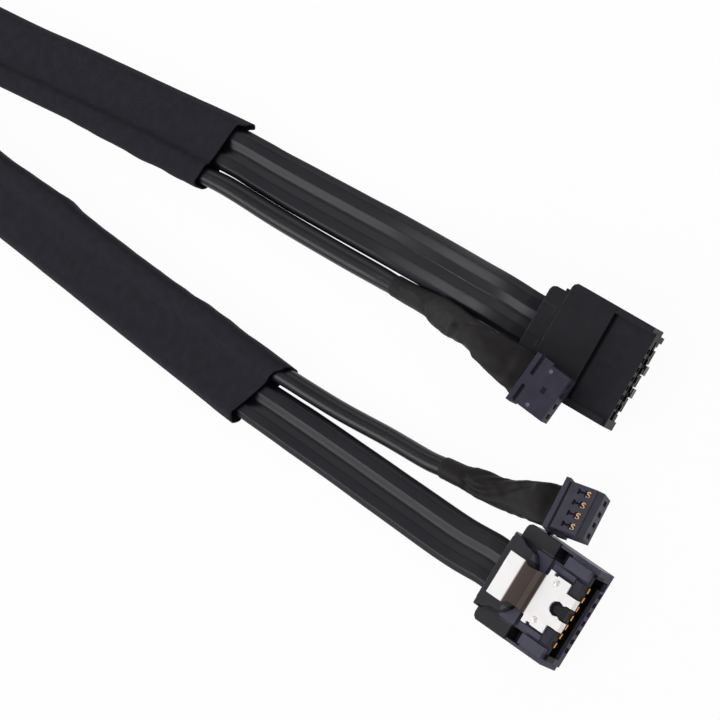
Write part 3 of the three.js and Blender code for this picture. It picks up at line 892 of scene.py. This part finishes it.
def data_places(stations):
    inside = [shifted(p, DATA_ACROSS, DATA_LEVEL) for p in stations]
    start_a, start_b = inside[0]["point"], inside[-1]["point"]
    along_a, along_b = inside[0]["along"], inside[-1]["along"]
    floor_a = CABLE_FLOOR + DATA_THICK
    run_a = [
        start_a + along_a * 4,
        start_a,
        start_a - along_a * 3,
        (-25, 14.79, 0.08),
        (-12, 15.07, 0),
        (-3, 15.31, 0.35),
        (6, 15.44, 2),
        (13.5, 15.5, 4.3),
        (19.5, 15.57, 6.05),
        AT_PLUG_A @ Vector((NECK_REAR - NECK_LEAD, 0, floor_a)),
    ]
    run_b = [
        start_b - along_b * 4,
        start_b,
        start_b + along_b * 3 + Vector((0, 0.12, 0)),
        (3, -11.65, 0.02),
        (18, -12.27, 0),
        (28, -12.6, 0.12),
        AT_PLUG_B @ Vector((NECK_REAR - NECK_LEAD, 0, CABLE_FLOOR)),
    ]
    side_a = frames_through(run_a, 1, DATA_STEPS["a"]) + seated(AT_PLUG_A, floor_a)
    side_b = frames_through(run_b, 1, DATA_STEPS["b"]) + seated(AT_PLUG_B, CABLE_FLOOR)
    return backwards(side_a) + inside[1:-1] + side_b


def to_metres(point):
    return tuple((SHIFT @ point) * MM)


# The data cable's share of its full width along the layout's x, at each side.
WIDTHS_A = [
    (-36, 0.95),
    (-31.6, 0.96),
    (-28, 0.985),
    (-20, 1.025),
    (-12, 1.04),
    (-4, 1.055),
    (25, 1.055),
]
WIDTHS_B = [
    (-10, 0.925),
    (-5, 0.946),
    (-1.4, 0.97),
    (6, 0.977),
    (13.5, 0.995),
    (25, 1.015),
    (32, 1.02),
]
SLEEVED_TO = -40
SLEEVED_WIDTH = 0.95


def data_width(place):
    x, y = place["point"].x, place["point"].y
    if x < SLEEVED_TO:
        return SLEEVED_WIDTH
    return read_table(WIDTHS_A if y > 0 else WIDTHS_B, x)[0]


def build_data_cable(stations):
    places = data_places(stations)
    outline = lobe_outline()
    rings = [ring(p, [(u * data_width(p), v) for u, v in outline]) for p in places]
    points, faces = solid_loft(rings)
    piece = make_piece("data_jacket", points, faces, JACKET, rings=rings)
    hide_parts("data_cable")
    middle = [shifted(p, 0, DATA_THICK / 2)["point"] for p in places]
    return piece, [to_metres(p) for p in middle]


# ---- The boots and the round cable.
KNOTS_A = [
    Vector((-0.7, 10.4, 1.59)),
    Vector((3, 10.45, 1.95)),
    Vector((9, 10.65, 4.15)),
    Vector((15, 10.5, 6.9)),
    Vector((21, 10.15, 8.85)),
]
KNOTS_B = [Vector((20.3, -5.85, 1.58)), Vector((24, -5.45, 1.6)), Vector((31, -4.4, 1.65))]


BOOT_LEAD = 2


def boot_places(at, knots, roll_end, count):
    """Frames along a boot: straight over the cable, then through its knots to the block."""
    start = knots[0]
    heading = (knots[1] - start).normalized()
    grip = start + heading * BOOT_GRIP
    rear = at @ Vector((-POWER_LENGTH - BOOT_GAP, 0, WIRE_LEVEL))
    before = at @ Vector((-POWER_LENGTH - BOOT_GAP - BOOT_LEAD, 0, WIRE_LEVEL))
    straight = []
    for i in range(GRIP_STEPS + 1):
        straight.append(section_frame(start.lerp(grip, i / GRIP_STEPS), heading))
    bends = [start, grip] + knots[2:] + [before, rear]
    return straight + frames_through(bends, 1, count, (0.0, roll_end))


# Each boot's half widths to +y and -y and half height, by the layout's x.
BOOT_SHAPES = {
    "a": [
        (0.4, 1.42, 1.4, 1.42),
        (4.5, 1.47, 1.47, 1.42),
        (8.5, 1.6, 1.55, 1.4),
        (9.1, 1.7, 1.65, 1.4),
        (10.2, 1.8, 2.02, 1.4),
        (13, 1.9, 2.06, 1.38),
        (16.5, 1.9, 1.99, 1.35),
        (18.6, 1.92, 1.68, 1.3),
        (19.8, 1.95, 1.52, 1.28),
        (20.8, 2.0, 1.75, 1.27),
        (22.1, 2.1, 2.1, 1.25),
        (25.5, 2.65, 2.39, 1.2),
        (28, 3.05, 2.57, 1.15),
        (29.3, 3.0, 2.85, 1.15),
    ],
    "b": [
        (20.8, 1.4, 1.4, 1.4),
        (23.9, 1.4, 1.5, 1.4),
        (24.8, 1.5, 1.6, 1.38),
        (25.6, 1.72, 1.7, 1.38),
        (27.3, 1.82, 1.88, 1.35),
        (30.2, 1.68, 2.08, 1.32),
        (31.8, 1.9, 2.21, 1.3),
        (32.5, 2.04, 2.35, 1.3),
        (34.8, 2.1, 2.7, 1.28),
        (36, 2.1, 2.95, 1.25),
        (38, 2.35, 3.1, 1.2),
        (39, 2.6, 3.05, 1.2),
    ],
}
BOOT_SIDES = 72
BOOT_LATE = {"a": 1.14, "b": 0.5}

# Folds over each boot: a line of (x, degrees round it, where 90 is up), its width in mm and its
# height in mm, below zero for a crease.
FOLDS = {
    "a": [
        ([(9.8, 20), (9.4, 60), (8.7, 94), (8.7, 116), (9.6, 140), (10.2, 175)], 0.55, -0.3),
        ([(10.9, 30), (10.4, 70), (10.0, 100), (10.4, 125)], 0.7, 0.16),
        ([(5.8, 76), (7.8, 88)], 0.3, 0.08),
        ([(16.4, 180), (17.2, 126), (17.4, 98), (18.6, 66), (20.4, 46), (22, 30)], 0.45, -0.3),
        ([(15.7, 170), (16.4, 120), (16.7, 98)], 0.35, 0.14),
        ([(18.6, 150), (18.9, 115), (20, 92), (22.5, 80)], 0.8, 0.14),
        ([(12, 120), (14, 126), (16, 140)], 0.6, -0.12),
        ([(24.4, 132), (25.6, 112), (27, 92)], 0.9, -0.26),
        ([(25.6, 150), (27, 128), (28, 110)], 0.6, 0.12),
        ([(22, 175), (24, 160), (26, 152)], 0.6, 0.1),
    ],
    "b": [
        ([(25.2, 150), (25.6, 122), (25.0, 92)], 0.5, -0.26),
        ([(25.0, 96), (26.0, 92), (27.6, 70), (29.0, 46), (30.6, 20)], 0.35, 0.2),
        ([(26.0, 76), (27.4, 56), (28.6, 34)], 0.6, -0.14),
        ([(26.4, 122), (27.8, 124), (29.6, 106), (32.2, 76), (35.2, 60)], 0.55, -0.3),
        ([(26.6, 104), (28.2, 90), (30.2, 70), (33, 52)], 0.5, 0.18),
        ([(27.2, 150), (30, 134), (34, 104), (37, 92)], 0.9, 0.12),
        ([(31, 150), (34, 140), (37, 136)], 0.8, -0.08),
    ],
}
GIRTH_STEP = 0.033
FOLD_DEPTH = 1.25
FOLD_MARGIN = 3
WRINKLE_DEPTH = 0.1
RIM_DEPTHS = (0.1, 0.03)


def to_line(x, y, line):
    """The distance from a point to a line of points."""
    best = 1e9
    for (ax, ay), (bx, by) in zip(line, line[1:]):
        dx, dy = bx - ax, by - ay
        t = ((x - ax) * dx + (y - ay) * dy) / (dx * dx + dy * dy)
        t = min(1, max(0, t))
        best = min(best, math.hypot(x - ax - dx * t, y - ay - dy * t))
    return best


def fold_height(end, x, degrees):
    height = 0.0
    for line, width, size in FOLDS[end]:
        if line[0][0] - FOLD_MARGIN < x < line[-1][0] + FOLD_MARGIN:
            flat = [(p, a * GIRTH_STEP) for p, a in line]
            off = to_line(x, degrees * GIRTH_STEP, flat) / width
            height += size * FOLD_DEPTH * math.exp(-off * off)
    return height


def boot_outline(end, x, part):
    left, right, tall = read_table(BOOT_SHAPES[end], x)
    power = lerp(1, 0.75, smooth(part * 1.3))
    outline = []
    for i in range(BOOT_SIDES):
        angle = 2 * math.pi * i / BOOT_SIDES
        c, s = math.cos(angle), math.sin(angle)
        u = math.copysign(abs(c) ** power, c) * (left if c > 0 else right)
        v = math.copysign(abs(s) ** power, s) * tall
        lift = fold_height(end, x, math.degrees(angle)) if s > -0.3 else 0.0
        lift *= smooth(part * 8) * smooth((1 - part) * 12)
        outline.append((u + c * lift * 0.4, v + s * lift))
    return outline


def wrinkled(places, rings):
    """Small uneven folds that grow along the boot."""
    last = len(places) - 1
    for i, (place, points) in enumerate(zip(places, rings)):
        depth = WRINKLE_DEPTH * smooth(i / last * 4 - 0.6) * smooth((1 - i / last) * 8)
        for k, p in enumerate(points):
            spot = Vector((p.x * 0.55, p.y * 1.1, p.z * 1.1))
            out = (p - place["point"]).normalized()
            points[k] = p + out * (noise.noise(spot) * depth)
    return rings


def rolled_rim(outlines):
    """The first rings drawn in, so the boot's cut edge is round."""
    for i, depth in enumerate(RIM_DEPTHS):
        outlines[i] = inset(outlines[i], depth)
    return outlines


def late_start(end, places):
    """The boot's places without the stretch before its own cut end."""
    first = places[0]
    start = first["point"] + first["along"] * BOOT_LATE[end]
    kept = [p for p in places if (p["point"] - start).dot(first["along"]) > 0.3]
    opening = [{**first, "point": start + first["along"] * step} for step in (0, 0.05, 0.12)]
    return opening + kept


def build_boot(end, places):
    places = late_start(end, places)
    last = len(places) - 1
    outlines = [boot_outline(end, p["point"].x, i / last) for i, p in enumerate(places)]
    inner = [ring(p, inset(o, BOOT_WALL * 0.9)) for p, o in zip(places, outlines)]
    rimmed = [ring(p, o) for p, o in zip(places, rolled_rim(outlines))]
    outer = wrinkled(places, rimmed)
    points, faces = hollow_loft(outer, inner)
    piece = make_piece(f"boot_skin_{end}", points, faces, SHRINK, sharp=60, rings=outer + inner)
    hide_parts(f"power_boot_{end}")
    return piece


def round_places(stations, boot_a, boot_b):
    inside = [shifted(p, ROUND_ACROSS, ROUND_LEVEL) for p in stations]
    start_a, start_b = inside[0]["point"], inside[-1]["point"]
    along_a, along_b = inside[0]["along"], inside[-1]["along"]
    grip_a, grip_b = boot_a[GRIP_STEPS], boot_b[GRIP_STEPS]
    first_a, first_b = boot_a[0], boot_b[0]
    half_way = GRIP_STEPS // 2
    run_a = [
        start_a + along_a * 4,
        start_a,
        start_a - along_a * 3.5,
        (-22, 10.14, ROUND_RADIUS),
        (-10, 10.22, ROUND_RADIUS),
        first_a["point"] - first_a["along"] * 2,
        first_a["point"],
    ]
    run_b = [
        start_b - along_b * 4,
        start_b,
        start_b + along_b * 3.5 + Vector((0, 0.22, 0)),
        (2, -6.7, ROUND_RADIUS),
        (11, -6.27, ROUND_RADIUS),
        first_b["point"] - first_b["along"] * 2,
        first_b["point"],
    ]
    side_a = frames_through(run_a, 1, ROUND_STEPS["a"]) + [boot_a[half_way], grip_a]
    side_b = frames_through(run_b, 1, ROUND_STEPS["b"]) + [boot_b[half_way], grip_b]
    return backwards(side_a) + inside[1:-1] + side_b


def circle(radius, sides):
    turns = [2 * math.pi * i / sides for i in range(sides)]
    return [(radius * math.cos(a), radius * math.sin(a)) for a in turns]


# The round cable is pressed a little flat where it leaves the sleeve at side A.
FLATTENED = [(-36, 1.0), (-30, 1.06), (-20, 1.1), (-8, 1.1), (-2, 1.08), (0.2, 1.03)]


def round_width(place):
    x, y = place["point"].x, place["point"].y
    return read_table(FLATTENED, x)[0] if y > 0 and x > SLEEVED_TO else 1.0


def build_round_cable(stations, boot_a, boot_b):
    places = round_places(stations, boot_a, boot_b)
    outline = circle(ROUND_RADIUS, TURNED_SIDES)
    rings = [ring(p, [(u * round_width(p), v) for u, v in outline]) for p in places]
    points, faces = solid_loft(rings)
    piece = make_piece("round_jacket", points, faces, ROUND, rings=rings)
    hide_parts("round_cable")
    return piece, [to_metres(p["point"]) for p in places]


# ---- Small pieces of the connectors.
def revolved(profile, sides=TURNED_SIDES):
    """A closed turned solid from (radius, height) rows that start and end on its axis."""
    rows = [r for r in profile if r[0] > 0]
    points = [Vector((0, 0, profile[0][1]))]
    for radius, height in rows:
        points += [Vector((u, v, height)) for u, v in circle(radius, sides)]
    points.append(Vector((0, 0, profile[-1][1])))
    last = len(points) - 1
    faces = [(0, 1 + (i + 1) % sides, 1 + i) for i in range(sides)]
    faces += skin([points[1 + i * sides : 1 + (i + 1) * sides] for i in range(len(rows))], start=1)
    top = last - sides
    faces += [(last, top + i, top + (i + 1) % sides) for i in range(sides)]
    return points, faces


DOME_RADIUS = 0.66
DOME_MIDDLE = 4.02
DOME_FOOT = 4.42
DOME_SPOTS = ((-3.9, -2.6), (-3.9, 2.6))


def build_domes(end, at, material):
    """Two pressed domes on a latch plate."""
    lift = DOME_FOOT - DOME_MIDDLE
    tilt = math.asin(lift / DOME_RADIUS)
    profile = [(0, DOME_FOOT)]
    for i in range(DOME_STEPS):
        angle = lerp(tilt, math.pi / 2, i / DOME_STEPS)
        height = DOME_MIDDLE + DOME_RADIUS * math.sin(angle)
        profile.append((DOME_RADIUS * math.cos(angle), height))
    profile.append((0, DOME_MIDDLE + DOME_RADIUS))
    pieces = []
    for i, (x, y) in enumerate(DOME_SPOTS):
        points, faces = revolved(profile)
        spot = SHIFT @ at @ Matrix.Translation((x, y, 0))
        name = f"latch_dome_{end}_{i + 1}"
        body = f"latch_{end}"
        piece = make_piece(name, points, faces, material, body=body, sharp=60, place=spot)
        pieces.append(piece)
    return pieces


MARK_SPOTS = ((-2.65, -2.45), (-2.65, 2.45))
MARK_PROFILE = [
    (0, -0.01),
    (0.16, -0.01),
    (0.2, -0.035),
    (0.24, -0.035),
    (0.27, -0.01),
    (0.27, 0.05),
    (0, 0.05),
]


def build_marks(at, material):
    """The small round marks that the mould's pins leave on the block's sole."""
    pieces = []
    for i, (x, y) in enumerate(MARK_SPOTS):
        points, faces = revolved(MARK_PROFILE)
        spot = SHIFT @ at @ Matrix.Translation((x, y, 0))
        piece = make_piece(f"pin_mark_a_{i + 1}", points, faces, material, sharp=50, place=spot)
        pieces.append(piece)
    return pieces


WAYS = 4
WAY_PITCH = 1.48
WINDOW_MIDDLE = -1.825
CURL = [
    (0.26, 0.24),
    (0.16, 0.35),
    (-0.08, 0.35),
    (-0.23, 0.2),
    (-0.1, 0.03),
    (0.1, -0.03),
    (0.23, -0.2),
    (0.08, -0.35),
    (-0.16, -0.35),
    (-0.26, -0.24),
]
CURL_HALF = 0.07
CURL_FLOOR = 1.44
CURL_TOP = 2.42
CURL_ROUNDING = 0.05
CURL_EDGE = 0.03


def build_curls(end, at):
    """The bent ends of the header's terminals, seen as an S in each window."""
    route = Route([(u, v, 0) for u, v in CURL])
    section = [
        (CURL_HALF, CURL_FLOOR),
        (CURL_HALF, CURL_TOP - CURL_ROUNDING),
        (CURL_HALF - CURL_EDGE, CURL_TOP),
        (CURL_EDGE - CURL_HALF, CURL_TOP),
        (-CURL_HALF, CURL_TOP - CURL_ROUNDING),
        (-CURL_HALF, CURL_FLOOR),
    ]
    rings = []
    for i in range(CURL_STEPS + 1):
        t = i / CURL_STEPS
        rings.append(ring(section_frame(route.point(t), route.tangent(t)), section))
    pieces = []
    for way in range(WAYS):
        points, faces = solid_loft(rings)
        y = (way - (WAYS - 1) / 2) * WAY_PITCH
        spot = SHIFT @ at @ Matrix.Translation((WINDOW_MIDDLE, y, 0))
        name = f"terminal_curl_{end}_{way + 1}"
        piece = make_piece(name, points, faces, GLINT_GOLD, sharp=35, place=spot)
        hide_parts(f"power_terminal_{end}_{way + 1}")
        pieces.append(piece)
    return pieces


# ---- Materials of the carried-over nodes.
NODE_FINISHES = {
    "plug_housing_a": DARK_NYLON,
    "plug_housing_b": GREY_NYLON,
    "plug_overmold_a": SHADED_MOULD_A,
    "plug_overmold_b": MOULD_B,
    "plug_latch_a": STEEL_A,
    "plug_latch_b": STEEL_B,
    "plug_contact_a": SHADED_GOLD,
    "plug_contact_b": GOLD,
    "power_housing_a": SHADED_BLOCK_A,
    "power_housing_b": BLOCK_B,
    "power_wire": WIRE,
}


def dress_nodes():
    for name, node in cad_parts.items():
        for start, material in NODE_FINISHES.items():
            if name.startswith(start):
                node.data.materials.clear()
                node.data.materials.append(material)


# ---- Floor, light and camera.
FLOOR_HALF = 2.0
PAPER_WHITE = 0.85
PAPER_GLOW = 0.96
ROOM_STRENGTH = 0.38
# Each lamp's direction from the part, distance in m, size in m and power in W.
LAMPS = {
    "left_lamp": ((-0.47, -0.7, 0.54), 0.9, (0.45, 0.35), 4.0),
    "rim_lamp": ((-0.92, -0.04, 0.36), 0.9, (0.12, 0.6), 1.5),
    "right_lamp": ((-0.55, 0.65, 0.44), 0.9, (0.6, 0.3), 1.3),
    "back_lamp": ((-0.6, -0.04, 0.8), 1.0, (0.45, 0.45), 0.6),
    "front_lamp": ((0.75, 0.1, 0.7), 1.0, (0.5, 0.5), 1.2),
}


def build_floor():
    """White paper that glows for the camera and in reflections, and still takes the shadow."""
    size = FLOOR_HALF
    mesh = bpy.data.meshes.new("floor")
    corners = [(-size, -size, 0), (size, -size, 0), (size, size, 0), (-size, size, 0)]
    mesh.from_pydata(corners, [], [(0, 1, 2, 3)])
    floor = bpy.data.objects.new("floor", mesh)
    bpy.context.scene.collection.objects.link(floor)
    material = bpy.data.materials.new("floor_paper")
    material.use_nodes = True
    nodes, links = material.node_tree.nodes, material.node_tree.links
    nodes.remove(nodes["Principled BSDF"])
    paper = nodes.new("ShaderNodeBsdfDiffuse")
    paper.inputs["Color"].default_value = (PAPER_WHITE, PAPER_WHITE, PAPER_WHITE, 1)
    glow = nodes.new("ShaderNodeEmission")
    path = nodes.new("ShaderNodeLightPath")
    seen = nodes.new("ShaderNodeMath")
    seen.operation = "MAXIMUM"
    share = nodes.new("ShaderNodeMath")
    share.operation = "MULTIPLY"
    share.inputs[1].default_value = PAPER_GLOW
    mix = nodes.new("ShaderNodeMixShader")
    links.new(path.outputs["Is Camera Ray"], seen.inputs[0])
    links.new(path.outputs["Is Glossy Ray"], seen.inputs[1])
    links.new(seen.outputs[0], share.inputs[0])
    links.new(share.outputs[0], mix.inputs[0])
    links.new(paper.outputs[0], mix.inputs[1])
    links.new(glow.outputs[0], mix.inputs[2])
    links.new(mix.outputs[0], nodes["Material Output"].inputs[0])
    mesh.materials.append(material)


def add_lamp(name, direction, distance, size, watts):
    """A square lamp, aimed at the middle of the part."""
    data = bpy.data.lights.new(name, "AREA")
    data.shape = "RECTANGLE"
    data.size, data.size_y = size
    data.energy = watts
    lamp = bpy.data.objects.new(name, data)
    away = Vector(direction).normalized()
    lamp.location = away * distance
    lamp.rotation_euler = away.to_track_quat("Z", "Y").to_euler()
    bpy.context.scene.collection.objects.link(lamp)


def build_light():
    world = bpy.data.worlds.new("studio")
    world.use_nodes = True
    nodes, links = world.node_tree.nodes, world.node_tree.links
    room = nodes["Background"]
    room.inputs["Color"].default_value = (1, 1, 1, 1)
    room.inputs["Strength"].default_value = ROOM_STRENGTH
    white = nodes.new("ShaderNodeBackground")
    path = nodes.new("ShaderNodeLightPath")
    mix = nodes.new("ShaderNodeMixShader")
    links.new(path.outputs["Is Camera Ray"], mix.inputs[0])
    links.new(room.outputs[0], mix.inputs[1])
    links.new(white.outputs[0], mix.inputs[2])
    links.new(mix.outputs[0], nodes["World Output"].inputs[0])
    bpy.context.scene.world = world
    for name, (direction, distance, size, watts) in LAMPS.items():
        add_lamp(name, direction, distance, size, watts)


def build_camera():
    tilt, azimuth = math.radians(CAMERA_TILT), math.radians(CAMERA_AZIMUTH)
    flat = Vector((math.cos(azimuth), math.sin(azimuth), 0))
    back = flat * math.sin(tilt) + Vector((0, 0, math.cos(tilt)))
    level = Vector((-math.sin(azimuth), math.cos(azimuth), 0))
    rise = back.cross(level)
    roll = math.radians(CAMERA_ROLL)
    right = level * math.cos(roll) - rise * math.sin(roll)
    up = back.cross(right)
    data = bpy.data.cameras.new("camera")
    data.sensor_width = SENSOR
    data.lens = FOCAL_PIXELS / FRAME_PIXELS * SENSOR
    data.clip_end = CAMERA_FAR
    camera = bpy.data.objects.new("camera", data)
    spot = (SHIFT @ (back * CAMERA_DISTANCE)) * MM
    axes = Matrix((right, up, back)).transposed().to_4x4()
    camera.matrix_world = Matrix.Translation(spot) @ axes
    bpy.context.scene.collection.objects.link(camera)
    bpy.context.scene.camera = camera


def main():
    bpy.context.scene.view_settings.view_transform = "Standard"
    build_camera()
    stations = sleeve_frames(STATION_STEP)
    boot_a = boot_places(AT_POWER_A, KNOTS_A, 0.0, BOOT_STEPS["a"])
    roll_b = math.radians(-POWER_B_ROLL)
    boot_b = boot_places(AT_POWER_B, KNOTS_B, roll_b, BOOT_STEPS["b"])
    data_jacket, data_path = build_data_cable(stations)
    round_jacket, round_path = build_round_cable(stations, boot_a, boot_b)
    cloth = build_sleeve()
    skin_a = build_boot("a", boot_a)
    build_boot("b", boot_b)
    curls_a = build_curls("a", AT_POWER_A)
    build_curls("b", AT_POWER_B)
    domes_a = build_domes("a", AT_PLUG_A, STEEL_A)
    build_domes("b", AT_PLUG_B, STEEL_B)
    marks = build_marks(AT_POWER_A, nylon("pin_mark_nylon", 0x6A687C, 0x757388))
    dress_nodes()
    build_floor()
    build_light()


main()
